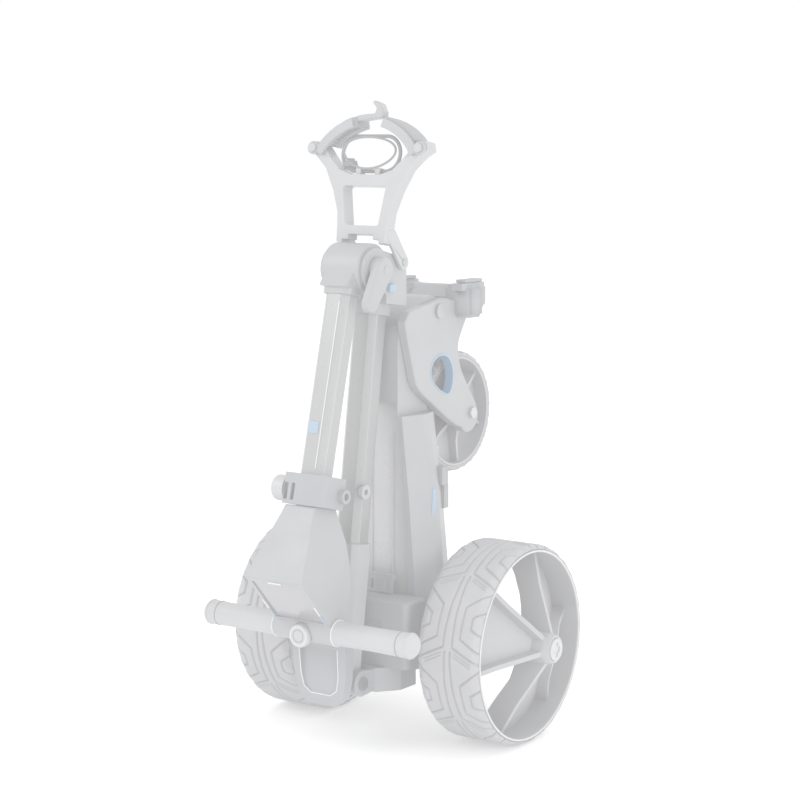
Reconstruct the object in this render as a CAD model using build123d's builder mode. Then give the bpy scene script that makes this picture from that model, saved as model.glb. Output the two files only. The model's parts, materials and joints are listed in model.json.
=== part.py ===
"""Electric golf trolley, folded for storage, hanging from its bag-support window.

The trolley is drawn from the line where its two drive wheels would touch a floor: x runs along the
axle, y runs from the handle side (negative) to the wall side, z is the height. Every piece is then
written in the hanging frame, whose origin is the middle of the bag-support window.
"""

from build123d import *
from math import atan2, cos, degrees, radians, sin
import os

os.makedirs("parts", exist_ok=True)

# ---------------------------------------------------------------- driving dimensions, mm
WHEEL_R = 140.0  # drive wheel over the tread
TYRE_IN = 112.0  # inner and outer face of each drive wheel
TYRE_OUT = 209.0
RIM_R = 133.0  # tyre seat
HUB_OUT = 247.0  # outboard end of the hub
SHAFT_R = 8.0
AXLE_Z = WHEEL_R

STEM_FOOT = (-161.0, 95.0)  # lower stem pivot, (y, z)
STEM_LEAN = 8.08  # lower stem leans this far towards the wall
STEM_W = 40.0  # both stem tubes, across x
STEM_D = 36.0
STEM_WALL = 2.2

HINGE = (-126.0, 660.0)  # middle hinge
HINGE_R = 35.0
UPPER_LEAN = 14.14
UPPER_TOP = (-145.2, 660.0)  # a point on the upper stem's centre line beside the hinge
SUPPORT_PIVOT = (-66.0, 667.0)  # bag support hinge
FORK_PIVOT = (10.0, 595.0)
FORK_IN = 34.0  # inner and outer face of each fork leg
FORK_OUT = 47.0
FRONT_HUB = (95.0, 442.0)
FRONT_R = 88.0
PIN_R = 6.0
RUNNING = 0.05  # radial clearance of a pin in its bore

BAR = (-232.0, 182.0)  # handlebar centre line
BAR_HALF = 173.0
BAR_CORE_R = 12.0
GRIP_R = 16.5
GRIP_START = 50.0
DIAL = (0.0, 176.0)  # speed dial, (x, z)

WINDOW_FRONT = (-111.0, 715.0)  # a point on the bag support's front plane
SUPPORT_DEPTH = 22.0
HANG = (0.0, -96.0, 744.0)  # middle of the window: origin of the finished frame

# ---------------------------------------------------------------- directions and planes
LOWER_DIR = (0, sin(radians(STEM_LEAN)), cos(radians(STEM_LEAN)))
UPPER_DIR = (0, -sin(radians(UPPER_LEAN)), -cos(radians(UPPER_LEAN)))


def along(start, direction, distance):
    """Point at a distance from a (y, z) start, in the x = 0 plane."""
    return (0, start[0] + direction[1] * distance, start[1] + direction[2] * distance)


def lower_plane(distance):
    """Section plane of the lower stem: local x is x, local y points to the wall."""
    return Plane(origin=along(STEM_FOOT, LOWER_DIR, distance), x_dir=(1, 0, 0), z_dir=LOWER_DIR)


def upper_plane(distance):
    """Section plane of the upper stem, going down it: local y points to the handle side."""
    return Plane(origin=along(UPPER_TOP, UPPER_DIR, distance), x_dir=(1, 0, 0), z_dir=UPPER_DIR)


SUPPORT_FRONT = Plane(
    origin=(0, WINDOW_FRONT[0], WINDOW_FRONT[1]),
    x_dir=(1, 0, 0),
    z_dir=(0, -LOWER_DIR[2], LOWER_DIR[1]),
)


def turn_plane(centre):
    """Plane for a profile of (x, radius) that turns about the line through centre along x."""
    return Plane(origin=(0, centre[0], centre[1]), x_dir=(1, 0, 0), z_dir=(0, -1, 0))


def spoke_plane(centre, angle):
    """As turn_plane, tipped from upright towards the handle side by angle."""
    a = radians(angle)
    return Plane(origin=(0, centre[0], centre[1]), x_dir=(1, 0, 0), z_dir=(0, -cos(a), -sin(a)))


def x_axis(centre):
    return Axis((0, centre[0], centre[1]), (1, 0, 0))


# ---------------------------------------------------------------- helpers that add to the open part
def prism(plane, points, depth, both=False, radius=0.0, mode=Mode.ADD):
    """Extrude a closed outline, with all its corners rounded if a radius is given."""
    with BuildSketch(plane) as outline:
        with BuildLine():
            Polyline(*points, close=True)
        make_face()
        if radius:
            fillet(outline.vertices(), radius)
    extrude(outline.sketch, amount=depth, both=both, mode=mode)


def turned(centre, points, arc=360.0, plane=None, mode=Mode.ADD):
    """Revolve an outline of (x, radius) points about the x line through centre."""
    with BuildSketch(plane or turn_plane(centre)) as outline:
        with BuildLine():
            Polyline(*points, close=True)
        make_face()
    revolve(outline.sketch, axis=x_axis(centre), revolution_arc=arc, mode=mode)


def rod(centre, radius, x_from, x_to, mode=Mode.ADD):
    """Round bar along x through a (y, z) centre."""
    with BuildSketch(Plane.YZ.offset(min(x_from, x_to))) as outline:
        with Locations(centre):
            Circle(radius)
    extrude(outline.sketch, amount=abs(x_to - x_from), mode=mode)


def box(low, high, mode=Mode.ADD):
    """Box between two corners."""
    size = [b - a for a, b in zip(low, high)]
    with BuildSketch(Plane.XY.offset(low[2])) as outline:
        with Locations(((low[0] + high[0]) / 2, (low[1] + high[1]) / 2)):
            Rectangle(size[0], size[1])
    extrude(outline.sketch, amount=size[2], mode=mode)


def tube_section(plane, width, depth, corner, length, shift=0.0, mode=Mode.ADD):
    """Chamfered rectangular bar along a plane's normal."""
    with BuildSketch(plane) as outline:
        with Locations((0, shift)):
            Rectangle(width, depth)
        chamfer(outline.vertices(), corner)
    extrude(outline.sketch, amount=length, mode=mode)


def mirrored_points(right_side):
    """Close an outline that is the same left and right, from its right side going up."""
    return list(right_side) + [(-x, y) for x, y in reversed(right_side)]


def save(piece, label):
    """Write one piece in the hanging frame."""
    shifted = piece.moved(Location((-HANG[0], -HANG[1], -HANG[2])))
    shifted.label = label
    export_step(shifted, f"parts/{label}.step")


# ---------------------------------------------------------------- drive wheels
AXLE = (0.0, AXLE_Z)
RIB_ANGLES = (40, 100)  # the two ribs of the first spoke, from upright towards the handle
SPOKE_STEP = 120


def tyre(side):
    """Wide low-profile tyre with eased shoulders."""
    with BuildPart() as part:
        profile = [(TYRE_IN + 1, RIM_R + 0.2), (TYRE_OUT - 1, RIM_R + 0.2), (TYRE_OUT, 135.5)]
        profile += [(205.5, 138.6), (197, WHEEL_R), (124, WHEEL_R), (115.5, 138.6), (TYRE_IN, 135.5)]
        turned(AXLE, [(side * x, r) for x, r in profile])
    return part.part


def drive_wheel(side):
    """Deep barrel with three channel spokes, each of two ribs and a conical web."""
    barrel = [(113, 129.5), (113, RIM_R), (208.5, RIM_R), (209, 131), (207, 129.5)]
    hub = [(152, 8.2), (152, 17), (196, 22), (238, 22), (HUB_OUT, 19), (HUB_OUT, 15.9)]
    hub += [(240, 15.9), (240, 8.2)]
    rib = [(239, 18), (226, 44), (205, 84), (186, 130.5), (146, 130.5), (168, 84), (190, 44), (200, 18)]
    web = [(222, 19), (166, 130.5), (162, 130.5), (217, 19)]
    with BuildPart() as part:
        turned(AXLE, [(side * x, r) for x, r in barrel])
        turned(AXLE, [(side * x, r) for x, r in hub])
        for spoke in range(3):
            for angle in RIB_ANGLES:
                plane = spoke_plane(AXLE, angle + SPOKE_STEP * spoke)
                prism(plane, [(side * x, r) for x, r in rib], 3.5, both=True)
            first = spoke_plane(AXLE, RIB_ANGLES[0] + SPOKE_STEP * spoke)
            span = RIB_ANGLES[1] - RIB_ANGLES[0]
            turned(AXLE, [(side * x, r) for x, r in web], arc=span, plane=first)
    return part.part


def wheel_shaft(side):
    """Output shaft, keyed into the hub and carried by two bearings."""
    with BuildPart() as part:
        rod(AXLE, SHAFT_R, side * 63, side * 236)
    return part.part


def wheel_button(side):
    """Quick-release cap in the hub, with a cross-shaped finger recess."""
    with BuildPart() as part:
        rod(AXLE, 15.5, side * 244.5, side * 249.5)
        rod(AXLE, 4.0, side * 241.2, side * 244.5)
        for width, height in ((7, 20), (16, 8)):
            low = (side * 248 if side > 0 else -260, -width / 2, AXLE_Z - height / 2)
            high = (260 if side > 0 else -248, width / 2, AXLE_Z + height / 2)
            box(low, high, mode=Mode.SUBTRACT)
    return part.part


# ---------------------------------------------------------------- chassis
# Sections of the chassis moulding: height, front half width, front y, half width, rear half width, rear y
CHASSIS_SECTIONS = (
    (98, 62, -66, 80, 66, 40),
    (178, 62, -67, 80, 66, 40),
    (205, 61, -68, 79, 64, 14),
    (340, 52, -71, 69, 58, 3),
    (454, 40, -71, 51, 44, 1),
)
SHELL = 5.0
NECK_HALF = 33.0
NOSE = ((-71, 440), (-71, 556), (-62, 580), (-38, 597), (-6, 614), (10, 617), (26, 612))
NOSE += ((32, 596), (28, 578), (2, 556), (2, 440))


def chassis_outline(height, front, front_y, half, rear, rear_y, inset=0.0):
    """One level of the chassis: a box whose front corners are planed off."""
    right = [(front - inset, front_y + inset), (half - inset, -36), (half - inset, -22)]
    right += [(rear - inset, rear_y - inset)]
    with BuildSketch(Plane.XY.offset(height)) as level:
        with BuildLine():
            Polyline(*mirrored_points(right), close=True)
        make_face()
    return level.sketch


def chassis_levels(inset):
    """All the levels, with the ends pulled in as far as the sides."""
    levels = []
    last = len(CHASSIS_SECTIONS) - 1
    for index, (height, *widths) in enumerate(CHASSIS_SECTIONS):
        shift = {0: inset, last: -inset}.get(index, 0.0)
        levels.append(chassis_outline(height + shift, *widths, inset=inset))
    return levels


TRAY_OPENING = ((48, 199), (43, 337), (37, 440), (29.5, 450), (29, 472))
TRAY_PANEL = ((50, 190), (45, 337), (37.8, 440), (37.4, 447), (29.8, 447), (29.8, 478))
REAR_COVER = ((-5, 447), (60, 447), (60, 92), (33, 92), (33, 180), (8, 206))


def chassis_shell():
    """The whole hollow moulding, before the rear cover is parted from it."""
    with BuildPart() as part:
        loft(sections=chassis_levels(0.0), ruled=True)
        prism(Plane.YZ, NOSE, NECK_HALF, both=True)
        loft(sections=chassis_levels(SHELL), ruled=True, mode=Mode.SUBTRACT)
        box((-30, -66, 430), (30, -4, 566), mode=Mode.SUBTRACT)
        prism(Plane.XZ.offset(61), mirrored_points(TRAY_OPENING), 20, mode=Mode.SUBTRACT)
        rod(AXLE, 34.4, -120, 120, mode=Mode.SUBTRACT)
        rod(FORK_PIVOT, PIN_R + RUNNING, -40, 40, mode=Mode.SUBTRACT)
    return part.part


COVER_SCREWS = ((-50, 260), (50, 260), (-46, 400), (46, 400))


def cover_screw_holes(radius):
    """Holes of the rear cover's screws, along y."""
    with BuildSketch(Plane.XZ.offset(-60)) as holes:
        with Locations(*COVER_SCREWS):
            Circle(radius)
    extrude(holes.sketch, amount=75, mode=Mode.SUBTRACT)


def chassis_frame():
    """Front moulding with the nose that carries the fork."""
    with BuildPart() as part:
        add(chassis_shell())
        prism(Plane.YZ, REAR_COVER, 100, both=True, mode=Mode.SUBTRACT)
        cover_screw_holes(2.0)
    return part.part


def chassis_rear_cover():
    """Wall-side cover of the moulding, parted from it by a fine gap."""
    with BuildPart() as part:
        add(chassis_shell())
        moved = [(y + 0.2, z) if y < 50 else (y, z) for y, z in REAR_COVER]
        prism(Plane.YZ, moved, 100, both=True, mode=Mode.INTERSECT)
        cover_screw_holes(2.6)
    return part.part


def chassis_screws():
    """Pan-head screws of the rear cover."""
    with BuildPart() as part:
        for x, z in COVER_SCREWS:
            face_y = 14 - 11 * (z - 205) / 135 if z < 340 else 3 - 2 * (z - 340) / 114
            with BuildSketch(Plane.XZ.offset(-(face_y + 0.4))) as head:
                with Locations((x, z)):
                    Circle(4.5)
            extrude(head.sketch, amount=-3)
            with BuildSketch(Plane.XZ.offset(-(face_y + 1))) as shank:
                with Locations((x, z)):
                    Circle(2.0)
            extrude(shank.sketch, amount=14)
    return part.part


def tray_panel():
    """Pale panel that closes the long front opening from behind."""
    with BuildPart() as part:
        prism(Plane.XZ.offset(57), mirrored_points(TRAY_PANEL), 3.5)
        for x in (-18, 18):
            box((x - 1.5, -63, 205), (x + 1.5, -60.5, 430))
    return part.part


def stem_base():
    """Floor of the battery bay, drawn out into the two ears of the lower stem's pivot."""
    y, z = STEM_FOOT
    floor = ((62, -67.5), (62, -104), (38, y + 27))
    with BuildPart() as part:
        prism(Plane.XY.offset(77), mirrored_points(floor), 34)
        for start in (-37, 24.5):
            with BuildSketch(Plane.YZ.offset(start)) as ear:
                with Locations((y, z)):
                    Circle(18)
                with Locations((y + 30, z - 1)):
                    Rectangle(20, 28)
                make_hull()
            extrude(ear.sketch, amount=12.5)
        rod(STEM_FOOT, PIN_R + RUNNING, -40, 40, mode=Mode.SUBTRACT)
    return part.part


def axle_housing():
    """Tube across the chassis that holds the two gearmotors."""
    with BuildPart() as part:
        rod(AXLE, 34, -104, 104)
        rod(AXLE, 29.3, -105, 105, mode=Mode.SUBTRACT)
    return part.part


def axle_caps():
    """Bearing carriers that close the housing's ends."""
    with BuildPart() as part:
        for side in (-1, 1):
            profile = [(81, 17.1), (81, 29), (104, 29), (104, 33)]
            profile += [(108, 33), (108, 10), (102, 10), (102, 17.1)]
            turned(AXLE, [(side * x, r) for x, r in profile])
    return part.part


def gearmotors():
    """Two in-line geared motors, each with a bore for its wheel shaft."""
    with BuildPart() as part:
        for side in (-1, 1):
            profile = [(5, 0), (5, 25), (48, 25), (48, 28.5), (70, 28.5), (70, 13), (77, 13)]
            profile += [(77, 8.2), (60, 8.2), (60, 0)]
            turned(AXLE, [(side * x, r) for x, r in profile])
    return part.part


def axle_bearings():
    """Two ball bearings a side."""
    with BuildPart() as part:
        for side in (-1, 1):
            for start in (82, 93):
                rod(AXLE, 17, side * start, side * (start + 8))
        for side in (-1, 1):
            rod(AXLE, SHAFT_R + RUNNING, side * 80, side * 103, mode=Mode.SUBTRACT)
    return part.part


def controller_board():
    """Motor controller with its heat sink, inside the moulding."""
    with BuildPart() as part:
        box((-30, -44, 230), (30, -42, 330))
        box((-22, -42, 240), (22, -24, 300))
        for x in (-20, 0, 20):
            box((x - 4, -50, 306), (x + 4, -44, 322))
    return part.part


def battery():
    """Lithium pack that drops into the bay."""
    with BuildPart() as part:
        box((-84, -122, 111.5), (84, -72, 205))
        fillet(part.edges().filter_by(Axis.Z), 9)
        fillet(part.faces().sort_by(Axis.Z)[-1].edges(), 5)
        box((-40, -123, 150), (40, -120, 176), mode=Mode.SUBTRACT)
    return part.part


def battery_clip():
    """Hinged bracket over the top of the battery."""
    with BuildPart() as part:
        box((-29, -86, 206), (33, -81.5, 229))
        box((-14, -90, 210), (2, -79, 225), mode=Mode.SUBTRACT)
        rod((-77.5, 228), 4, -29, 33)
        box((-29, -84, 225), (33, -77.5, 232))
        box((14, -88.5, 208), (23, -86, 226))
    return part.part


def flank_clip():
    """Cable clip and its tab, bedded on the chassis flank."""
    with BuildPart() as part:
        box((53, -12, 352), (68, 3, 378))
        box((56, -4, 318), (66, 7, 352))
        loft(sections=chassis_levels(0.0), ruled=True, mode=Mode.SUBTRACT)
    return part.part


def pivot_pins():
    """Pins of the lower stem and of the fork, held in the chassis."""
    with BuildPart() as part:
        rod(STEM_FOOT, PIN_R, -40.5, 40.5)
        rod(FORK_PIVOT, PIN_R, -51, 51)
        for side in (-1, 1):
            rod(STEM_FOOT, 9, side * 37.4, side * 40.5)
            rod(FORK_PIVOT, 10, side * 47.4, side * 51)
    return part.part


# ---------------------------------------------------------------- fork and front wheel
LEG_FRONT = ((-73, 585), (-64, 553), (-52, 515), (-43, 493), (-27, 479), (3, 460), (39, 437), (70, 423))
LEG_REAR = ((97, 416), (112, 429), (110, 448), (96, 470), (78, 494), (66, 514), (61, 534), (66, 556))
LEG_TOP = ((88, 590), (88, 600), (30, 612), (-30, 604), (-62, 598))
LEG_HOLE_MIDDLE = (18, 502)
LEG_HOLE = ((-12, 510), (-4, 527), (12, 534), (34, 530), (46, 514))
LEG_HOLE += ((47, 490), (37, 474), (20, 478), (-4, 494))


def leg_hole(plane, depth, size=1.0, mode=Mode.SUBTRACT):
    """Rounded teardrop through a fork leg, at full size or drawn in towards its middle."""
    y, z = LEG_HOLE_MIDDLE
    points = [(y + (a - y) * size, z + (b - z) * size) for a, b in LEG_HOLE]
    with BuildSketch(plane) as outline:
        with BuildLine():
            Spline(*points, periodic=True)
        make_face()
    extrude(outline.sketch, amount=depth, mode=mode)


def fork_leg(side):
    """Broad side plate from the nose pivot to the front hub."""
    inner = min(side * FORK_IN, side * FORK_OUT)
    with BuildPart() as part:
        with BuildSketch(Plane.YZ.offset(inner)) as outline:
            with BuildLine():
                Spline(*LEG_FRONT)
                Spline(LEG_FRONT[-1], *LEG_REAR)
                Polyline(LEG_REAR[-1], *LEG_TOP, LEG_FRONT[0])
            make_face()
        extrude(outline.sketch, amount=FORK_OUT - FORK_IN)
        chamfer(part.faces().sort_by(Axis.X)[-1 if side > 0 else 0].edges(), 1.5)
        leg_hole(Plane.YZ.offset(inner - 5), 25)
        rod(FORK_PIVOT, PIN_R + RUNNING, inner - 5, inner + 20, mode=Mode.SUBTRACT)
        rod(FRONT_HUB, 5.2, inner - 5, inner + 20, mode=Mode.SUBTRACT)
    return part.part


def fork_hole_trims():
    """Coloured liners of the two teardrop holes."""
    with BuildPart() as part:
        for side in (-1, 1):
            start = min(side * (FORK_IN - 0.5), side * (FORK_OUT + 0.8))
            leg_hole(Plane.YZ.offset(start), 14.3, size=0.995, mode=Mode.ADD)
            leg_hole(Plane.YZ.offset(start - 1), 17, size=0.91)
    return part.part


def lower_support():
    """Crown that joins the legs and cradles the foot of the bag."""
    with BuildPart() as part:
        bar = ((52, 594), (88, 590.4), (98, 600), (98, 626), (88, 631), (60, 628), (50, 612))
        prism(Plane.YZ, bar, 66, both=True)
        box((-46, 70, 601), (46, 110, 640), mode=Mode.SUBTRACT)
        for side in (-1, 1):
            box((side * 57 - 9, 40, 622), (side * 57 + 9, 98, 632))
        for side in (-1, 1):
            low = min(side * 33.6, side * 47.4)
            box((low, 40, 580), (low + 13.8, 88.5, 613.5), mode=Mode.SUBTRACT)
        box((-33.4, 52, 588), (33.4, 60, 612))
    return part.part


def support_pads():
    """Two grip pads on the lower bag support."""
    with BuildPart() as part:
        for side in (-1, 1):
            box((side * 57 - 8, 50, 632.2), (side * 57 + 8, 94, 637))
            box((side * 55 - 10, 98.2, 600), (side * 55 + 10, 103, 625))
    return part.part


def front_tyre():
    profile = [(-24, 80.2), (24, 80.2), (25, 82), (23, 86)]
    profile += [(17, FRONT_R), (-17, FRONT_R), (-23, 86), (-25, 82)]
    with BuildPart() as part:
        turned(FRONT_HUB, profile)
    return part.part


FRONT_RIBS = (10, 70)


def front_wheel_rim():
    """Small wheel of the same pattern, with a central web."""
    barrel = [(-24, 76.5), (-24, 80), (24, 80), (24, 76.5)]
    hub = [(-31, 5.05), (-31, 11), (-22, 15), (22, 15), (31, 11), (31, 5.05)]
    rib = [(24, 13), (16, 45), (15, 77.5), (-15, 77.5), (-16, 45), (-24, 13)]
    web = [(3, 13), (3, 77.5), (-3, 77.5), (-3, 13)]
    with BuildPart() as part:
        turned(FRONT_HUB, barrel)
        turned(FRONT_HUB, hub)
        for spoke in range(3):
            for angle in FRONT_RIBS:
                prism(spoke_plane(FRONT_HUB, angle + SPOKE_STEP * spoke), rib, 2.5, both=True)
            first = spoke_plane(FRONT_HUB, FRONT_RIBS[0] + SPOKE_STEP * spoke)
            turned(FRONT_HUB, web, arc=FRONT_RIBS[1] - FRONT_RIBS[0], plane=first)
    return part.part


def front_axle():
    """Axle of the front wheel with its two end nuts."""
    with BuildPart() as part:
        rod(FRONT_HUB, 5, -51, 51)
        for side in (-1, 1):
            with BuildSketch(Plane.YZ.offset(47.3 if side > 0 else -52)) as nut:
                with Locations(FRONT_HUB):
                    RegularPolygon(8.5, 6)
            extrude(nut.sketch, amount=4.7)
    return part.part


# ---------------------------------------------------------------- lower stem and middle hinge
BOOT_END = 190.0
TUBE_END = 520.0


def lower_stem_boot():
    """Moulded foot: a barrel on the pivot pin and a socket for the tube."""
    with BuildPart() as part:
        rod(STEM_FOOT, 17.5, -24, 24)
        tube_section(lower_plane(8), 46, 42, 8, BOOT_END - 8)
        tube_section(lower_plane(60), STEM_W + 0.3, STEM_D + 2.3, 9, BOOT_END, mode=Mode.SUBTRACT)
        rod(STEM_FOOT, PIN_R + RUNNING, -30, 30, mode=Mode.SUBTRACT)
    return part.part


def stem_tube(plane, length, depth):
    """Drawn aluminium tube with planed corners."""
    with BuildPart() as part:
        tube_section(plane, STEM_W, depth, 9, length)
        inner = (STEM_W - 2 * STEM_WALL, depth - 2 * STEM_WALL)
        tube_section(plane, inner[0], inner[1], 8, length, mode=Mode.SUBTRACT)
    return part.part


def mid_hinge_housing():
    """Head of the lower stem: socket, rear block and two cheeks round the hinge."""
    y, z = HINGE
    with BuildPart() as part:
        tube_section(lower_plane(505), 46, 44, 8, 40)
        rear = ((-98, 612), (-50, 606), (-50, 668), (-58, 678), (-84, 678), (-98, 640))
        prism(Plane.YZ, rear, 33, both=True)
        with BuildSketch(Plane.YZ) as cheek:
            with Locations((y, z)):
                Circle(29)
            with Locations((-80, 650)):
                Rectangle(26, 50)
            make_hull()
        extrude(cheek.sketch, amount=36, both=True)
        rod(HINGE, HINGE_R + 0.6, -30.4, 30.4, mode=Mode.SUBTRACT)
        below = ((-200, 560), (-112, 560), (-112, 660), (-200, 660))
        prism(Plane.YZ, below, 30.4, both=True, mode=Mode.SUBTRACT)
        above = ((-165, 664), (-84, 664), (-76, 679), (-76, 720), (-165, 720))
        prism(Plane.YZ, above, 30.4, both=True, mode=Mode.SUBTRACT)
        tube_section(lower_plane(480), STEM_W + 0.3, STEM_D + 2.3, 9, TUBE_END - 480, mode=Mode.SUBTRACT)
        rod(HINGE, PIN_R + 0.2, -40, 40, mode=Mode.SUBTRACT)
        rod(SUPPORT_PIVOT, 5.2, -40, 40, mode=Mode.SUBTRACT)
        box((30, -96.4, 627.6), (40, -81.6, 638.4), mode=Mode.SUBTRACT)
        box((33.01, -110, 600), (40, -40, 690), mode=Mode.SUBTRACT)
        box((-40, -110, 600), (-33.01, -40, 690), mode=Mode.SUBTRACT)
    return part.part


def hinge_pins():
    """Pins of the middle hinge and of the bag support."""
    with BuildPart() as part:
        rod(HINGE, PIN_R, -38, 54)
        rod(SUPPORT_PIVOT, 5, -42, 42)
    return part.part


def storage_peg():
    """Ringed peg on the lower stem's flank that steadies the folded handle."""
    with BuildPart() as part:
        rod((-140, 357), 7, 20.2, 26)
        rod((-140, 357), 10, 26, 29)
        rod((-140, 357), 4, 24, 30, mode=Mode.SUBTRACT)
    return part.part


def hinge_lever():
    """Cam lever on the hinge's right side."""
    with BuildPart() as part:
        with BuildSketch(Plane.YZ.offset(41.5)) as arm:
            with Locations(HINGE):
                Circle(17)
            with Locations((-155, 616)):
                Circle(12)
            make_hull()
        extrude(arm.sketch, amount=12)
        fillet(part.faces().sort_by(Axis.X)[-1].edges(), 4)
        rod(HINGE, 17, 37.2, 41.5)
        rod(HINGE, PIN_R + RUNNING, 36, 60, mode=Mode.SUBTRACT)
    return part.part


def hinge_button():
    """Small coloured release button on the hinge housing."""
    with BuildPart() as part:
        box((32.5, -96, 628), (38.5, -82, 638))
    return part.part


# ---------------------------------------------------------------- bag support
ARM_PIVOT = (88.6, 108.0)  # in the bag support's front plane


def support_frame():
    """Y-shaped bracket with the hanging window."""
    outer = [(21, -9), (21, -16), (31, -16), (31, -22), (40, -20), (40.5, 0)]
    outer += [(42, 21), (52, 50), (68, 81), (86, 98), (99, 106), (96, 118)]
    outer += [(80, 117), (60, 94), (44, 79), (24, 72.5)]
    window = [(27.5, 3), (36, 57)]
    with BuildPart() as part:
        prism(SUPPORT_FRONT, mirrored_points(outer), -SUPPORT_DEPTH)
        before = SUPPORT_FRONT.offset(5)
        through = -SUPPORT_DEPTH - 10
        prism(before, mirrored_points(window), through, radius=4, mode=Mode.SUBTRACT)
        for x in (-16, 16):
            plane = SUPPORT_FRONT.offset(-5)
            prism(plane, ((x - 4, 70), (x + 4, 70), (x + 4, 82), (x - 4, 82)), -12)
        for side in (-1, 1):
            low = min(side * 36.4, side * 41)
            with BuildSketch(Plane.YZ.offset(low)) as lug:
                with Locations(SUPPORT_PIVOT):
                    Circle(10)
                with Locations((-96, 706)):
                    Rectangle(16, 12)
                make_hull()
            extrude(lug.sketch, amount=4.6)
            rod(SUPPORT_PIVOT, 5 + RUNNING, low - 2, low + 8, mode=Mode.SUBTRACT)
            with BuildSketch(SUPPORT_FRONT.offset(5)) as screw_hole:
                with Locations((side * ARM_PIVOT[0], ARM_PIVOT[1])):
                    Circle(3.0)
            extrude(screw_hole.sketch, amount=-40, mode=Mode.SUBTRACT)
        add(bungee_loop(), mode=Mode.SUBTRACT)
    return part.part


def arm_band(side, inner, outer, front, depth, start, end):
    """Curved band over the top of the support, between two radii about a low centre."""
    centre = (0.0, 62.0)
    steps = [start + (end - start) * i / 6 for i in range(7)]

    def at(radius, angle):
        a = radians(angle)
        return (side * (centre[0] + radius * sin(a)), centre[1] + radius * cos(a) * 0.92)

    with BuildSketch(SUPPORT_FRONT.offset(front)) as band:
        with BuildLine():
            Spline(*[at(outer, a) for a in steps])
            Line(at(outer, end), at(inner, end))
            Spline(*[at(inner, a) for a in reversed(steps)])
            Line(at(inner, start), at(outer, start))
        make_face()
    extrude(band.sketch, amount=-depth)


def support_arm(side):
    """Curved arm hinged at the end of the bracket."""
    with BuildPart() as part:
        arm_band(side, 84, 97, 6, 5.6, 16, 62)
        with BuildSketch(SUPPORT_FRONT.offset(6)) as eye:
            with Locations((side * ARM_PIVOT[0], ARM_PIVOT[1])):
                Circle(9)
        extrude(eye.sketch, amount=-5.6)
        with BuildSketch(SUPPORT_FRONT.offset(8)) as hole:
            with Locations((side * ARM_PIVOT[0], ARM_PIVOT[1])):
                Circle(3.05)
        extrude(hole.sketch, amount=-12, mode=Mode.SUBTRACT)
    return part.part


def arm_pad(side):
    """Rubber pad carried behind the arm."""
    with BuildPart() as part:
        arm_band(side, 86, 101, 0.2, 34, 14, 52)
        with BuildSketch(SUPPORT_FRONT.offset(0.4)) as clear:
            with Locations((side * ARM_PIVOT[0], ARM_PIVOT[1] - 3)):
                Circle(17)
        extrude(clear.sketch, amount=-40, mode=Mode.SUBTRACT)
    return part.part


def strap_hook():
    """Hook at the crown of the left arm that the bag strap catches on."""
    with BuildPart() as part:
        points = ((-24, 145), (4, 149), (20, 150), (21, 158), (14, 170))
        points += ((3, 174), (1, 171), (8, 163), (6, 156))
        prism(SUPPORT_FRONT.offset(-2), points + ((-10, 155), (-25, 153)), -14)
    return part.part


def arm_screws():
    """Shoulder screws of the two arms."""
    with BuildPart() as part:
        for side in (-1, 1):
            with BuildSketch(SUPPORT_FRONT.offset(6.2)) as head:
                with Locations((side * ARM_PIVOT[0], ARM_PIVOT[1])):
                    Circle(6)
            extrude(head.sketch, amount=3)
            with BuildSketch(SUPPORT_FRONT.offset(6.2)) as shank:
                with Locations((side * ARM_PIVOT[0], ARM_PIVOT[1])):
                    Circle(3.0)
            extrude(shank.sketch, amount=-24)
    return part.part


LOOP_RADIUS = 24.0
LOOP_HALF = 24.0
LOOP_CENTRE = 102.0
LOOP_CORD = 2.6


def bungee_loop():
    """Closed elastic loop held on the bracket's cross bar: two straight runs and two half turns."""
    plane = SUPPORT_FRONT.offset(-SUPPORT_DEPTH / 2)
    loop_top = LOOP_CENTRE + LOOP_RADIUS
    loop_low = LOOP_CENTRE - LOOP_RADIUS
    with BuildPart() as part:
        with BuildLine(plane) as path:
            Line((-LOOP_HALF, LOOP_CENTRE + LOOP_RADIUS), (LOOP_HALF, LOOP_CENTRE + LOOP_RADIUS))
            RadiusArc((LOOP_HALF, loop_top), (LOOP_HALF, loop_low), LOOP_RADIUS)
            Line((LOOP_HALF, LOOP_CENTRE - LOOP_RADIUS), (-LOOP_HALF, LOOP_CENTRE - LOOP_RADIUS))
            RadiusArc((-LOOP_HALF, loop_low), (-LOOP_HALF, loop_top), LOOP_RADIUS)
        start = Plane(origin=path.line @ 0, z_dir=path.line % 0)
        with BuildSketch(start) as section:
            Circle(LOOP_CORD)
        sweep(section.sketch, path=path.line)
    return part.part


# ---------------------------------------------------------------- upper stem and handle
def upper_hinge_knuckle():
    """Barrel of the middle hinge with the socket of the upper stem."""
    with BuildPart() as part:
        rod(HINGE, HINGE_R, -29.9, 29.9)
        tube_section(upper_plane(22), 46, 41, 8, 14)
        with BuildSketch(Plane.YZ) as neck:
            with BuildLine():
                Polyline((-160, 660), (-126, 640), (-133, 629), (-176, 640), close=True)
            make_face()
        extrude(neck.sketch, amount=23, both=True)
        tube_section(upper_plane(25.6), STEM_W + 0.3, STEM_D + 0.3, 9, 24.4, mode=Mode.SUBTRACT)
        rod(HINGE, PIN_R + RUNNING, -40, 40, mode=Mode.SUBTRACT)
    return part.part


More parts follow.
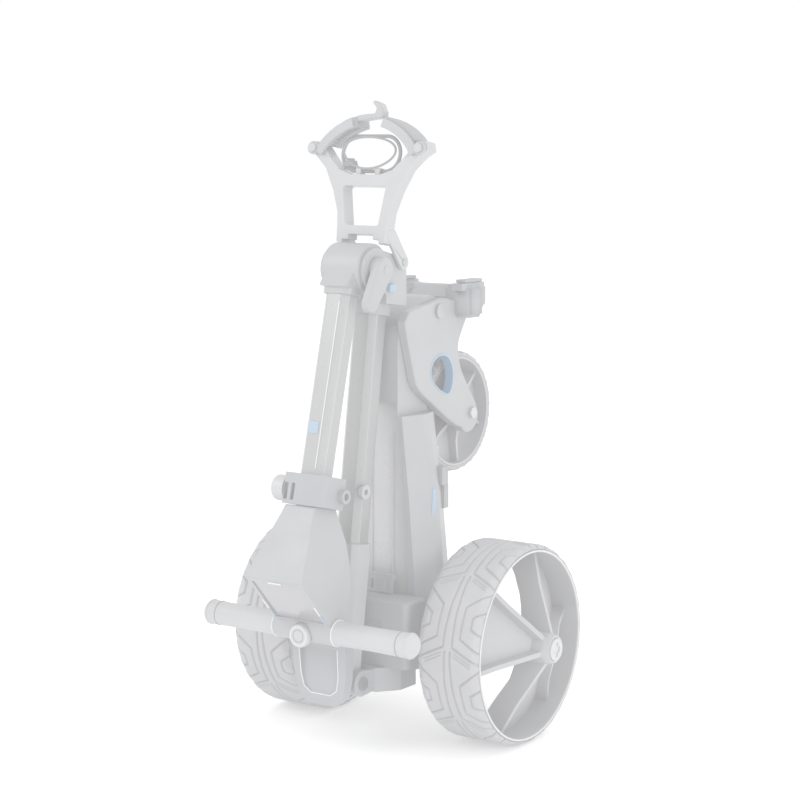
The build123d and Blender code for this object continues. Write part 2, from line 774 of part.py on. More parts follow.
def stem_clamp():
    """Clamp round the upper stem with two ribs, a catch and the boss of the storage peg."""
    with BuildPart() as part:
        tube_section(upper_plane(281), 74, 50, 6, 42)
        tube_section(upper_plane(270), STEM_W + 0.3, STEM_D + 0.3, 9, 70, mode=Mode.SUBTRACT)
        for low, high in ((-33, -25), (-20, -14)):
            box((low, -262, 358), (high, -236, 380), mode=Mode.SUBTRACT)
        rod((-224, 368), 3.05, -60, -34, mode=Mode.SUBTRACT)
        rod((-208, 362), 9.5, 37, 46)
        rod((-208, 362), 5, 40, 48, mode=Mode.SUBTRACT)
    return part.part


def clamp_knob():
    """Hand knob that tightens the clamp."""
    with BuildPart() as part:
        rod((-224, 368), 17.5, -58, -37.4)
        fillet(part.faces().sort_by(Axis.X)[0].edges(), 4)
        rod((-224, 368), 3, -37.4, -35)
    return part.part


SCREEN_TOP = (-307.0, 259.0)
SCREEN_LOW = (-246.0, 192.0)


def console_body():
    """Wedge-shaped head: tapering neck, sloping display face and the barrel of the handlebar."""
    side_view = ((-250, 352), (-308, 262), SCREEN_TOP, SCREEN_LOW, (-236, 184), (-212, 172))
    side_view += ((-203, 190), (-199, 300), (-205, 342))
    front_view = ((46, 160), (46, 262), (40, 292), (26, 342), (24, 356))
    with BuildPart() as part:
        prism(Plane.YZ, side_view, 47, both=True)
        prism(Plane.XZ.offset(150), mirrored_points(front_view), 200, mode=Mode.INTERSECT)
        fillet(part.edges().filter_by(GeomType.LINE).group_by(Axis.Z)[-1], 5)
        rod(BAR, 18, -49.6, 49.6)
        tube_section(upper_plane(300), STEM_W + 0.3, STEM_D + 0.3, 9, 60, mode=Mode.SUBTRACT)
        rod(BAR, BAR_CORE_R + 0.1, -60, 60, mode=Mode.SUBTRACT)
        slope = degrees(atan2(SCREEN_LOW[1] - SCREEN_TOP[1], SCREEN_LOW[0] - SCREEN_TOP[0]))
        a = radians(slope)
        middle = (0, (SCREEN_TOP[0] + SCREEN_LOW[0]) / 2, (SCREEN_TOP[1] + SCREEN_LOW[1]) / 2)
        face = Plane(origin=middle, x_dir=(1, 0, 0), z_dir=(0, sin(a), -cos(a)))
        with BuildSketch(face.offset(1)) as recess:
            Rectangle(82, 80)
        extrude(recess.sketch, amount=-7, mode=Mode.SUBTRACT)
        with BuildSketch(Plane.XZ.offset(232)) as dial_hole:
            with Locations(DIAL):
                Circle(7.2)
        extrude(dial_hole.sketch, amount=40, mode=Mode.SUBTRACT)
        with BuildSketch(Plane.XZ.offset(246)) as dial_seat:
            with Locations(DIAL):
                Circle(17)
        extrude(dial_seat.sketch, amount=30, mode=Mode.SUBTRACT)
    return part.part


def console_display():
    """Display panel in the sloping face."""
    a = atan2(SCREEN_LOW[1] - SCREEN_TOP[1], SCREEN_LOW[0] - SCREEN_TOP[0])
    middle = (0, (SCREEN_TOP[0] + SCREEN_LOW[0]) / 2, (SCREEN_TOP[1] + SCREEN_LOW[1]) / 2)
    face = Plane(origin=middle, x_dir=(1, 0, 0), z_dir=(0, sin(a), -cos(a)))
    with BuildPart() as part:
        with BuildSketch(face.offset(-5)) as pane:
            Rectangle(81.4, 79.4)
        extrude(pane.sketch, amount=3)
    return part.part


def handlebar_core():
    """Tube through the barrel, under both grips."""
    with BuildPart() as part:
        rod(BAR, BAR_CORE_R, -BAR_HALF + 4, BAR_HALF - 4)
        rod(BAR, BAR_CORE_R - 2, -BAR_HALF, BAR_HALF, mode=Mode.SUBTRACT)
        with BuildSketch(Plane.XZ.offset(232)) as dial_hole:
            with Locations(DIAL):
                Circle(6)
        extrude(dial_hole.sketch, amount=30, mode=Mode.SUBTRACT)
    return part.part


def grip(side):
    """Soft grip, slightly waisted, with a closed end."""
    profile = [(GRIP_START, 12.1), (GRIP_START, 17.5), (GRIP_START + 6, GRIP_R), (110, GRIP_R - 0.5)]
    profile += [(150, GRIP_R), (BAR_HALF - 4, GRIP_R + 0.5), (BAR_HALF, GRIP_R - 3), (BAR_HALF, 0)]
    profile += [(BAR_HALF - 3.5, 0), (BAR_HALF - 3.5, 12.1)]
    with BuildPart() as part:
        turned(BAR, [(side * x, r) for x, r in profile])
    return part.part


def tongue_cover():
    """U-shaped cover below the bar with a flat dished face."""
    outer = [(24, 70), (38, 84), (43, 110), (46, 166)]
    dish = [(16, 86), (27, 94), (31, 112), (32, 152)]
    with BuildPart() as part:
        prism(Plane.YZ, ((-214, 167), (-206, 69), (-190, 72), (-191, 168)), 50, both=True)
        prism(Plane.XZ.offset(180), mirrored_points(outer), 50, mode=Mode.INTERSECT)
        prism(Plane.XZ.offset(205), mirrored_points(dish), 20, mode=Mode.SUBTRACT)
        rod(BAR, 18.4, -60, 60, mode=Mode.SUBTRACT)
    return part.part


def dial_stem():
    """Shaft of the speed dial."""
    with BuildPart() as part:
        with BuildSketch(Plane.XZ.offset(237)) as shaft:
            with Locations(DIAL):
                Circle(4)
        extrude(shaft.sketch, amount=15)
    return part.part


def dial_cap():
    """Speed dial, fixed on its shaft and turning with it."""
    with BuildPart() as part:
        with BuildSketch(Plane.XZ.offset(248)) as cap:
            with Locations(DIAL):
                Circle(16)
        extrude(cap.sketch, amount=8)
        fillet(part.faces().sort_by(Axis.Y)[0].edges(), 2.5)
        with BuildSketch(Plane.XZ.offset(247)) as bore:
            with Locations(DIAL):
                Circle(4 + RUNNING)
        extrude(bore.sketch, amount=5.2, mode=Mode.SUBTRACT)
    return part.part


# ---------------------------------------------------------------- write every piece
PIECES = {
    "chassis_frame": chassis_frame(),
    "chassis_rear_cover": chassis_rear_cover(),
    "chassis_screws": chassis_screws(),
    "tray_panel": tray_panel(),
    "stem_base": stem_base(),
    "axle_housing": axle_housing(),
    "axle_caps": axle_caps(),
    "gearmotors": gearmotors(),
    "axle_bearings": axle_bearings(),
    "controller_board": controller_board(),
    "battery": battery(),
    "battery_clip": battery_clip(),
    "flank_clip": flank_clip(),
    "pivot_pins": pivot_pins(),
    "fork_hole_trims": fork_hole_trims(),
    "lower_support": lower_support(),
    "support_pads": support_pads(),
    "front_tyre": front_tyre(),
    "front_wheel_rim": front_wheel_rim(),
    "front_axle": front_axle(),
    "lower_stem_boot": lower_stem_boot(),
    "lower_stem_tube": stem_tube(lower_plane(61), TUBE_END - 62, STEM_D + 2),
    "mid_hinge_housing": mid_hinge_housing(),
    "hinge_pins": hinge_pins(),
    "storage_peg": storage_peg(),
    "hinge_lever": hinge_lever(),
    "hinge_button": hinge_button(),
    "support_frame": support_frame(),
    "strap_hook": strap_hook(),
    "arm_screws": arm_screws(),
    "bungee_loop": bungee_loop(),
    "upper_hinge_knuckle": upper_hinge_knuckle(),
    "upper_stem_tube": stem_tube(upper_plane(26), 320, STEM_D),
    "stem_clamp": stem_clamp(),
    "clamp_knob": clamp_knob(),
    "console_body": console_body(),
    "console_display": console_display(),
    "handlebar_core": handlebar_core(),
    "tongue_cover": tongue_cover(),
    "dial_stem": dial_stem(),
    "dial_cap": dial_cap(),
}
for label, piece in PIECES.items():
    save(piece, label)

for name, side in (("left", -1), ("right", 1)):
    save(tyre(side), f"tyre_{name}")
    save(drive_wheel(side), f"wheel_{name}")
    save(wheel_shaft(side), f"wheel_shaft_{name}")
    save(wheel_button(side), f"wheel_button_{name}")
    save(fork_leg(side), f"fork_leg_{name}")
    save(support_arm(side), f"support_arm_{name}")
    save(arm_pad(side), f"arm_pad_{name}")
    save(grip(side), f"grip_{name}")
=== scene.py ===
"""Looks of the folded electric golf trolley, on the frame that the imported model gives."""
import json
import math

import bmesh
import bpy
import numpy as np
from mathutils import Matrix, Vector

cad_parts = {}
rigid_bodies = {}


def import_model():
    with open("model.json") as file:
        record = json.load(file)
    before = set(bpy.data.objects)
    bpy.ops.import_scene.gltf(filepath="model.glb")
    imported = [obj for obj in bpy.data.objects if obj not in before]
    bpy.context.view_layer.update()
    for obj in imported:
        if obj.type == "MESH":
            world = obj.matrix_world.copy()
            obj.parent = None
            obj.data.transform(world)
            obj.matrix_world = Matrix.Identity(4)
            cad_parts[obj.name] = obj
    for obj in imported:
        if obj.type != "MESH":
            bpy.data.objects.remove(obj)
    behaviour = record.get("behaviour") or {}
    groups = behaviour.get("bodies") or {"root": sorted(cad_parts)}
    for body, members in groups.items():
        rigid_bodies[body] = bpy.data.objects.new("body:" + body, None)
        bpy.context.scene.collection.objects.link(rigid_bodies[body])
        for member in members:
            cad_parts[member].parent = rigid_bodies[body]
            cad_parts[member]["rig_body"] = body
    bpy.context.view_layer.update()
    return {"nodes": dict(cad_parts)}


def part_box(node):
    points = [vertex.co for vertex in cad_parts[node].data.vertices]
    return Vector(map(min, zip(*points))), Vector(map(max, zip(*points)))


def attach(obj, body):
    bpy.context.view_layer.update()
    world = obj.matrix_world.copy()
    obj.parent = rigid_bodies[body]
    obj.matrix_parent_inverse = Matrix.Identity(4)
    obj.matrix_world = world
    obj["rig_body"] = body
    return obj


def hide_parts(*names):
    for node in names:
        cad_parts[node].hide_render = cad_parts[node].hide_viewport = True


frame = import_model()
NODES = frame["nodes"]

# Distances below are millimetres from the floor point under the middle of the axle.
_low, _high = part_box("tyre_right")
AXLE_Y = (_low.y + _high.y) / 2
GROUND = _low.z


def at(x, y, z):
    """Point in the frame, from millimetres in the standing directions of the trolley."""
    return Vector((x * 0.001, AXLE_Y + y * 0.001, GROUND + z * 0.001))


# ---------------------------------------------------------------- camera
CAMERA_TARGET = at(-12.7, 0, 465.7)
CAMERA_DISTANCE = 2.8486
scene = bpy.context.scene
azimuth, elevation = math.radians(34.94), math.radians(7.45)
back = Vector((
    math.sin(azimuth) * math.cos(elevation),
    -math.cos(azimuth) * math.cos(elevation),
    math.sin(elevation),
))
camera_data = bpy.data.cameras.new("camera")
camera = bpy.data.objects.new("camera", camera_data)
scene.collection.objects.link(camera)
camera_data.lens = 90.0
camera_data.sensor_width = 36.0
camera.location = CAMERA_TARGET + back * CAMERA_DISTANCE
camera.rotation_mode = "QUATERNION"
camera.rotation_quaternion = (-back).to_track_quat("-Z", "Y")
scene.camera = camera


# ---------------------------------------------------------------- materials
def new_material(name, color, roughness, metallic=0.0, coat=0.0, specular=0.5):
    """Principled material with the values that are the same all over set on its sockets."""
    material = bpy.data.materials.new(name)
    material.use_nodes = True
    shader = material.node_tree.nodes["Principled BSDF"]
    shader.inputs["Base Color"].default_value = (*color, 1.0)
    shader.inputs["Roughness"].default_value = roughness
    shader.inputs["Metallic"].default_value = metallic
    shader.inputs["Coat Weight"].default_value = coat
    shader.inputs["Coat Roughness"].default_value = 0.15
    shader.inputs["Specular IOR Level"].default_value = specular
    return material, material.node_tree, shader


def object_coordinates(tree, scale=(1, 1, 1), rotation=(0, 0, 0)):
    """Object-space coordinates in metres, scaled."""
    source = tree.nodes.new("ShaderNodeTexCoord")
    mapping = tree.nodes.new("ShaderNodeMapping")
    mapping.inputs["Scale"].default_value = scale
    mapping.inputs["Rotation"].default_value = rotation
    tree.links.new(source.outputs["Object"], mapping.inputs["Vector"])
    return mapping.outputs["Vector"]


def noise(tree, vector, scale, detail=3.0, rough=0.5):
    node = tree.nodes.new("ShaderNodeTexNoise")
    node.inputs["Scale"].default_value = scale
    node.inputs["Detail"].default_value = detail
    node.inputs["Roughness"].default_value = rough
    tree.links.new(vector, node.inputs["Vector"])
    return node.outputs["Fac"]


def remap(tree, value, low, high, from_low=0.3, from_high=0.7):
    node = tree.nodes.new("ShaderNodeMapRange")
    node.inputs["From Min"].default_value = from_low
    node.inputs["From Max"].default_value = from_high
    node.inputs["To Min"].default_value = low
    node.inputs["To Max"].default_value = high
    tree.links.new(value, node.inputs["Value"])
    return node.outputs["Result"]


def tint(tree, shader, factor, dark, light):
    """Base colour between two tones."""
    mix = tree.nodes.new("ShaderNodeMix")
    mix.data_type = "RGBA"
    mix.inputs[6].default_value = (*dark, 1.0)
    mix.inputs[7].default_value = (*light, 1.0)
    tree.links.new(factor, mix.inputs[0])
    tree.links.new(mix.outputs[2], shader.inputs["Base Color"])
    return mix


def bump(tree, shader, height, strength, distance, after=None):
    node = tree.nodes.new("ShaderNodeBump")
    node.inputs["Strength"].default_value = strength
    node.inputs["Distance"].default_value = distance
    tree.links.new(height, node.inputs["Height"])
    if after is not None:
        tree.links.new(after, node.inputs["Normal"])
    tree.links.new(node.outputs["Normal"], shader.inputs["Normal"])
    return node.outputs["Normal"]


def shade(color, amount):
    return tuple(min(1.0, c * amount) for c in color)


def moulded(name, color, roughness=0.42, grain=900.0, depth=0.00012, spread=0.05, coat=0.0):
    """Moulded plastic: fine spark-eroded grain, slight flow marks and rubbed patches."""
    material, tree, shader = new_material(name, color, roughness, coat=coat)
    place = object_coordinates(tree)
    broad = noise(tree, place, 9.0, 4.0, 0.6)
    tint(tree, shader, remap(tree, broad, 0.0, 1.0), shade(color, 1 - spread), shade(color, 1 + spread))
    fine = noise(tree, place, grain, 2.0, 0.6)
    bump(tree, shader, fine, 0.35, depth)
    rub = noise(tree, place, 30.0, 5.0, 0.65)
    wear = remap(tree, rub, roughness - 0.08, roughness + 0.08)
    tree.links.new(wear, shader.inputs["Roughness"])
    return material


def drawn_metal(name, color, lean=0.0, roughness=0.32, metallic=0.25, coat=0.15):
    """Painted or anodised tube with faint marks drawn along its length, which leans by lean degrees."""
    material, tree, shader = new_material(name, color, roughness, metallic=metallic, coat=coat)
    turned = object_coordinates(tree, rotation=(math.radians(lean), 0, 0))
    stretch = tree.nodes.new("ShaderNodeMapping")
    stretch.inputs["Scale"].default_value = (420, 420, 6)
    tree.links.new(turned, stretch.inputs["Vector"])
    streak = noise(tree, stretch.outputs["Vector"], 1.0, 3.0, 0.6)
    tint(tree, shader, remap(tree, streak, 0.0, 1.0), shade(color, 0.965), shade(color, 1.03))
    bump(tree, shader, streak, 0.12, 0.00006)
    tree.links.new(remap(tree, streak, roughness - 0.05, roughness + 0.07), shader.inputs["Roughness"])
    return material


def turned_steel(name, color, roughness=0.28):
    material, tree, shader = new_material(name, color, roughness, metallic=0.85)
    place = object_coordinates(tree, scale=(1500, 60, 60))
    rings = noise(tree, place, 1.0, 2.0, 0.5)
    tint(tree, shader, remap(tree, rings, 0.0, 1.0), shade(color, 0.94), shade(color, 1.04))
    bump(tree, shader, rings, 0.1, 0.00005)
    return material


def rubber(name, color, roughness=0.7, cells=420.0, depth=0.0004, spread=0.06):
    """Rubber with small moulded dimples and a dusty bloom."""
    material, tree, shader = new_material(name, color, roughness, specular=0.35)
    place = object_coordinates(tree)
    broad = noise(tree, place, 14.0, 5.0, 0.6)
    tint(tree, shader, remap(tree, broad, 0.0, 1.0), shade(color, 1 - spread), shade(color, 1 + spread))
    cell = tree.nodes.new("ShaderNodeTexVoronoi")
    cell.inputs["Scale"].default_value = cells
    tree.links.new(place, cell.inputs["Vector"])
    first = bump(tree, shader, cell.outputs["Distance"], 0.3, depth)
    bump(tree, shader, noise(tree, place, 1400.0, 2.0), 0.25, 0.0001, after=first)
    tree.links.new(remap(tree, broad, roughness - 0.08, roughness + 0.08), shader.inputs["Roughness"])
    return material


def ribbed_rubber(name, color, direction, pitch=0.004):
    """Grip or pad rubber with moulded ribs across one direction."""
    material, tree, shader = new_material(name, color, 0.62, specular=0.35)
    place = object_coordinates(tree)
    wave = tree.nodes.new("ShaderNodeTexWave")
    wave.bands_direction = direction
    wave.inputs["Scale"].default_value = 0.314 / pitch
    tree.links.new(place, wave.inputs["Vector"])
    broad = noise(tree, place, 18.0, 4.0, 0.6)
    tint(tree, shader, remap(tree, broad, 0.0, 1.0), shade(color, 0.95), shade(color, 1.04))
    first = bump(tree, shader, wave.outputs["Fac"], 0.25, 0.0005)
    bump(tree, shader, noise(tree, place, 1200.0, 2.0), 0.15, 0.0001, after=first)
    return material


def braided(name, color):
    material, tree, shader = new_material(name, color, 0.8, specular=0.3)
    place = object_coordinates(tree)
    cell = tree.nodes.new("ShaderNodeTexVoronoi")
    cell.inputs["Scale"].default_value = 900.0
    tree.links.new(place, cell.inputs["Vector"])
    # Painted shade in the weave: each strand is lighter at its middle and darker towards the gaps between
    # strands.
    depth = remap(tree, cell.outputs["Distance"], 0.0, 1.0, 0.0, 0.6)
    tint(tree, shader, depth, shade(color, 1.1), shade(color, 0.8))
    bump(tree, shader, cell.outputs["Distance"], 0.6, 0.0006)
    shader.inputs["Sheen Weight"].default_value = 0.3
    return material


MATERIALS = {
    "shell": moulded("shell_moulding", (0.365, 0.372, 0.386)),
    "frame": moulded("frame_moulding", (0.440, 0.446, 0.454), roughness=0.36),
    "dark": moulded("dark_moulding", (0.325, 0.332, 0.352), roughness=0.5, grain=700.0),
    "boot": moulded("boot_moulding", (0.430, 0.436, 0.452), roughness=0.45),
    "knob": moulded("knob_moulding", (0.480, 0.485, 0.495), roughness=0.34),
    "panel": moulded("panel_moulding", (0.510, 0.515, 0.526), roughness=0.3, coat=0.25, spread=0.03),
    "upper": drawn_metal("upper_stem_paint", (0.370, 0.374, 0.380), lean=-14.1),
    "stem": drawn_metal("lower_stem_paint", (0.330, 0.334, 0.340), lean=-8.1),
    "bright": drawn_metal("bright_metal", (0.560, 0.565, 0.570), roughness=0.3, metallic=0.5),
    "steel": turned_steel("turned_steel", (0.480, 0.485, 0.490)),
    "tyre": rubber("tyre_rubber", (0.440, 0.443, 0.458), cells=260.0, depth=0.0003),
    "rim": moulded("rim_moulding", (0.420, 0.424, 0.436), roughness=0.4, grain=600.0),
    # Painted highlight on the rim edges: lighter than the rim moulding.
    "rim_highlight": moulded("rim_edge_highlight", (0.640, 0.644, 0.650), roughness=0.3),
    "grip": rubber("grip_rubber", (0.470, 0.474, 0.484), roughness=0.5, cells=520.0, depth=0.0005),
    "pad": ribbed_rubber("pad_rubber", (0.330, 0.336, 0.350), "Z"),
    "blue": moulded("blue_accent", (0.250, 0.420, 0.590), roughness=0.25, coat=0.4, spread=0.02),
    "blue_soft": moulded("blue_inlay", (0.300, 0.430, 0.560), roughness=0.3, coat=0.3, spread=0.02),
    # Light moulding for inlays, also used for the painted highlight lines and rings.
    "white": moulded("white_highlight_and_inlay", (0.700, 0.705, 0.712), roughness=0.25, coat=0.4, spread=0.02),
    "screen": moulded(
        "screen_glass", (0.300, 0.298, 0.318), roughness=0.12, depth=0.00001, coat=0.8, spread=0.02
    ),
    "cord": braided("cord_braid", (0.300, 0.306, 0.320)),
    "board": moulded("board_lacquer", (0.10, 0.28, 0.18), roughness=0.3),
    "seam": moulded("seam_shadow", (0.250, 0.255, 0.270), roughness=0.6),
}

NODE_MATERIALS = {
    "shell": (
        "chassis_frame", "chassis_rear_cover", "fork_leg_left", "fork_leg_right",
        "mid_hinge_housing", "upper_hinge_knuckle", "console_body", "battery_clip", "hinge_lever",
        "support_arm_left", "support_arm_right", "strap_hook",
    ),
    "frame": ("support_frame",),
    "dark": (
        "stem_base", "axle_housing", "axle_caps", "flank_clip", "lower_support", "stem_clamp",
        "tongue_cover", "battery",
    ),
    "boot": ("lower_stem_boot", "arm_screws", "storage_peg"),
    "knob": ("clamp_knob", "dial_cap"),
    "panel": ("tray_panel", "wheel_button_left", "wheel_button_right"),
    "upper": ("upper_stem_tube",),
    "stem": ("lower_stem_tube",),
    "bright": ("front_axle",),
    "steel": (
        "chassis_screws", "gearmotors", "axle_bearings", "pivot_pins", "hinge_pins",
        "handlebar_core", "dial_stem", "wheel_shaft_left", "wheel_shaft_right",
    ),
    "rim": ("wheel_left", "wheel_right", "front_wheel_rim"),
    "tyre": ("tyre_left", "tyre_right", "front_tyre"),
    "grip": ("grip_left", "grip_right"),
    "pad": ("arm_pad_left", "arm_pad_right", "support_pads"),
    "blue": ("fork_hole_trims", "hinge_button"),
    "screen": ("console_display",),
    "cord": ("bungee_loop",),
    "board": ("controller_board",),
}
# Width of each CAD node's rounded edges, mm.
BEVELS = {
    "chassis_frame": 2.0, "chassis_rear_cover": 1.0, "support_frame": 2.2, "mid_hinge_housing": 1.6,
    "upper_hinge_knuckle": 1.6, "console_body": 2.0, "battery_clip": 0.8, "stem_base": 2.0,
    "axle_housing": 0.8, "axle_caps": 1.0, "flank_clip": 1.0, "lower_support": 2.0,
    "lower_stem_boot": 1.2, "stem_clamp": 1.5, "clamp_knob": 1.0, "tongue_cover": 2.0,
    "battery": 1.0, "strap_hook": 2.0, "tray_panel": 0.8, "support_arm_left": 1.2,
    "support_arm_right": 1.2, "wheel_button_left": 0.5, "wheel_button_right": 0.5,
    "wheel_left": 1.4, "wheel_right": 1.4, "front_wheel_rim": 1.0, "lower_stem_tube": 1.2,
    "upper_stem_tube": 1.2, "front_axle": 0.5,
    "storage_peg": 0.5, "hinge_lever": 0.8, "dial_cap": 0.5, "hinge_button": 0.6, "grip_left": 1.0,
    "grip_right": 1.0, "fork_hole_trims": 0.4, "console_display": 0.6,
}


def soften(obj, width):
    """Welds the mesh's split corners and rounds its sharp edges by width millimetres."""
    weld = obj.modifiers.new("weld", "WELD")
    weld.merge_threshold = 0.00001
    bevel = obj.modifiers.new("bevel", "BEVEL")
    bevel.width = width * 0.001
    bevel.segments = 2
    bevel.limit_method = "ANGLE"
    bevel.angle_limit = math.radians(32)
    bevel.use_clamp_overlap = True
    bevel.harden_normals = True
    normals = obj.modifiers.new("normals", "WEIGHTED_NORMAL")
    normals.keep_sharp = False
    normals.weight = 80


def clear_normals(obj):
    """Drops the imported corner normals, so the rounded edges get their own."""
    with bpy.context.temp_override(object=obj, active_object=obj):
        bpy.ops.mesh.customdata_custom_splitnormals_clear()
    obj.data.polygons.foreach_set("use_smooth", [True] * len(obj.data.polygons))


for key, names in NODE_MATERIALS.items():
    for name in names:
        node = NODES[name]
        if not node.data.materials:
            node.data.materials.append(None)
        for index in range(len(node.data.materials)):
            node.data.materials[index] = MATERIALS[key]
for name, width in BEVELS.items():
    clear_normals(NODES[name])
    soften(NODES[name], width)


# ---------------------------------------------------------------- making pieces
def add_piece(name, mesh, body, key, smooth=True):
    """A new piece that rides on a body and takes its look from MATERIALS."""
    obj = bpy.data.objects.new(name, mesh)
    scene.collection.objects.link(obj)
    mesh.materials.append(MATERIALS[key])
    if smooth:
        mesh.polygons.foreach_set("use_smooth", [True] * len(mesh.polygons))
    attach(obj, body)
    return obj


def grid_mesh(name, points):
    """Mesh from a (u, v, 3) array of points, closed both ways."""
    nu, nv = points.shape[:2]
    u, v = np.meshgrid(np.arange(nu), np.arange(nv), indexing="ij")
    u, v = u.ravel(), v.ravel()
    u2, v2 = (u + 1) % nu, (v + 1) % nv
    faces = np.stack([u * nv + v, u * nv + v2, u2 * nv + v2, u2 * nv + v], -1)
    mesh = bpy.data.meshes.new(name)
    mesh.from_pydata(points.reshape(-1, 3).tolist(), [], faces.tolist())
    mesh.update()
    return mesh


def ring_mesh(name, centre, radius, thickness, steps=128, sides=12):
    """Thin ring about a line along x."""
    a = np.linspace(0, 2 * np.pi, steps, endpoint=False)
    b = np.linspace(0, 2 * np.pi, sides, endpoint=False)
    r = radius + thickness * np.cos(b)
    points = np.empty((steps, sides, 3))
    points[..., 0] = centre[0] + thickness * np.sin(b)[None, :]
    points[..., 1] = centre[1] + r[None, :] * np.sin(a)[:, None]
    points[..., 2] = centre[2] + r[None, :] * np.cos(a)[:, None]
    return grid_mesh(name, points)


def tube_curve(name, points, radius, body, key, cyclic=False):
    """Rounded bead along points."""
    curve = bpy.data.curves.new(name, "CURVE")
    curve.dimensions = "3D"
    curve.bevel_depth = radius
    curve.bevel_resolution = 3
    curve.use_fill_caps = True
    spline = curve.splines.new("POLY")
    spline.points.add(len(points) - 1)
    for point, co in zip(spline.points, points):
        point.co = (*co, 1.0)
    spline.use_cyclic_u = cyclic
    obj = bpy.data.objects.new(name, curve)
    scene.collection.objects.link(obj)
    obj.data.materials.append(MATERIALS[key])
    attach(obj, body)
    return obj


def slab(name, corners, thickness, body, key, bevel=0.0006):
    """Thin plate over a loop of points, thickened to the side its winding faces, with soft edges."""
    bm = bmesh.new()
    face = bm.faces.new([bm.verts.new(c) for c in corners])
    bm.normal_update()
    normal = face.normal.copy()
    made = bmesh.ops.extrude_face_region(bm, geom=[face])
    moved = [v for v in made["geom"] if isinstance(v, bmesh.types.BMVert)]
    bmesh.ops.translate(bm, vec=normal * thickness, verts=moved)
    bmesh.ops.recalc_face_normals(bm, faces=bm.faces)
    bmesh.ops.bevel(bm, geom=list(bm.edges), offset=bevel, segments=2, affect="EDGES", clamp_overlap=True)
    mesh = bpy.data.meshes.new(name)
    bm.to_mesh(mesh)
    bm.free()
    return add_piece(name, mesh, body, key, smooth=False)


# ---------------------------------------------------------------- treaded tyres
GROOVES = (  # along the tread in pitches, across it from the middle (0) to the shoulder (1), half width in mm
    (((-0.52, 1.1), (-0.32, 0.15), (0.62, 0.09)), 1.35),
    (((-0.38, 1.1), (-0.20, 0.38), (0.20, 0.38), (0.46, 1.1)), 1.15),
    (((-0.16, 1.1), (-0.07, 0.68), (0.08, 0.68), (0.20, 1.1)), 1.15),
    (((0.61, 0.22), (0.50, 0.74)), 0.7),
    (((0.57, 0.22), (0.46, 0.74)), 0.7),
)


DRIVE_TYRE_DEPTH = 6.8  # tread to seat, mm
FRONT_TYRE_DEPTH = 7.8
SHOULDER = 13.0  # width of the rounded shoulder, mm
SHOULDER_DROP = 4.6


def segment_distance(u, v, a, b):
    """Distance from points to a segment, all in mm."""
    du, dv = b[0] - a[0], b[1] - a[1]
    t = np.clip(((u - a[0]) * du + (v - a[1]) * dv) / (du * du + dv * dv), 0, 1)
    return np.hypot(u - a[0] - t * du, v - a[1] - t * dv)


def groove_depth(u, v, pitch, half, deep, size):
    """How far the tread is cut, 0 to deep, at u along and v across."""
    cut = np.zeros_like(u)
    across = np.abs(v)
    for line, width in GROOVES:
        for start, end in zip(line[:-1], line[1:]):
            for turn in (-1, 0, 1):
                a = ((start[0] + turn) * pitch, start[1] * half)
                b = ((end[0] + turn) * pitch, end[1] * half)
                d = segment_distance(u, across, a, b)
                edge = np.clip((width * size + 0.45 - d) / 0.9, 0, 1)
                cut = np.maximum(cut, edge * edge * (3 - 2 * edge) * (deep if width > 1 else deep * 0.6))
    return cut


def treaded_tyre(node, body, pitches, per_pitch, rows, deep, size=1.0):
    low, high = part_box(node)
    centre = (low + high) / 2
    outer = (high.z - low.z) * 500
    half = (high.x - low.x) * 500
    seat = outer - (DRIVE_TYRE_DEPTH if outer > 100 else FRONT_TYRE_DEPTH)
    v = np.linspace(-half + 0.6, half - 0.6, rows)
    shoulder = np.clip((np.abs(v) - (half - SHOULDER)) / SHOULDER, 0, 1)
    count = pitches * per_pitch
    pitch = 2 * math.pi * outer / pitches
    along = (np.arange(per_pitch) / per_pitch - 0.5) * pitch
    uu, vv = np.meshgrid(along, v, indexing="ij")
    cut = np.tile(groove_depth(uu, vv, pitch, half, deep, size), (pitches, 1))
    # Shoulder lugs: the rounded edge steps in and out four times in each pitch.
    lug = np.clip(4 * np.sin(uu / pitch * 8 * math.pi), -1, 1) * 0.5 + 0.5
    lugs = np.tile(lug * 1.5 * size * np.clip((np.abs(vv) - (half - 9)) / 6, 0, 1), (pitches, 1))
    profile = outer - SHOULDER_DROP * shoulder ** 2.2 * (half / 48.5) ** 0.5
    radius = profile[None, :] - np.maximum(cut, lugs)
    side = np.full((count, 1), seat)
    mid = np.full((count, 1), (seat + profile[0]) / 2)
    radius = np.concatenate([side, mid, radius, mid, side], axis=1)
    x = np.concatenate([[-half + 2, -half + 0.1], v, [half - 0.1, half - 2]])
    angle = np.arange(count) / count * 2 * math.pi
    points = np.empty((count, len(x), 3))
    points[..., 0] = centre.x + x[None, :] * 0.001
    points[..., 1] = centre.y + radius * 0.001 * np.sin(angle)[:, None]
    points[..., 2] = centre.z + radius * 0.001 * np.cos(angle)[:, None]
    piece = add_piece(node + "_tread", grid_mesh(node + "_tread", points), body, "tyre")
    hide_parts(node)
    return piece


treaded_tyre("tyre_left", "left_drive", 8, 112, 92, 3.2)
treaded_tyre("tyre_right", "right_drive", 8, 112, 92, 3.2)
treaded_tyre("front_tyre", "front_wheel", 8, 68, 48, 2.0, size=0.75)

# Painted highlights: a light ring round the open face of each drive wheel's rim and a light seat line at its
# back edge inside the tyre, lighter than the rim to stand for the shine along those edges.
for side, body in ((-1, "left_drive"), (1, "right_drive")):
    name = "left" if side < 0 else "right"
    rim_highlight = ring_mesh(f"rim_edge_highlight_{name}", at(side * 208.3, 0, 140), 0.1312, 0.0014, steps=180)
    add_piece(f"rim_edge_highlight_{name}", rim_highlight, body, "rim_highlight")
    inner = ring_mesh(f"rim_back_edge_highlight_{name}", at(side * 113.2, 0, 140), 0.1312, 0.0012, steps=180)
    add_piece(f"rim_back_edge_highlight_{name}", inner, body, "rim_highlight")
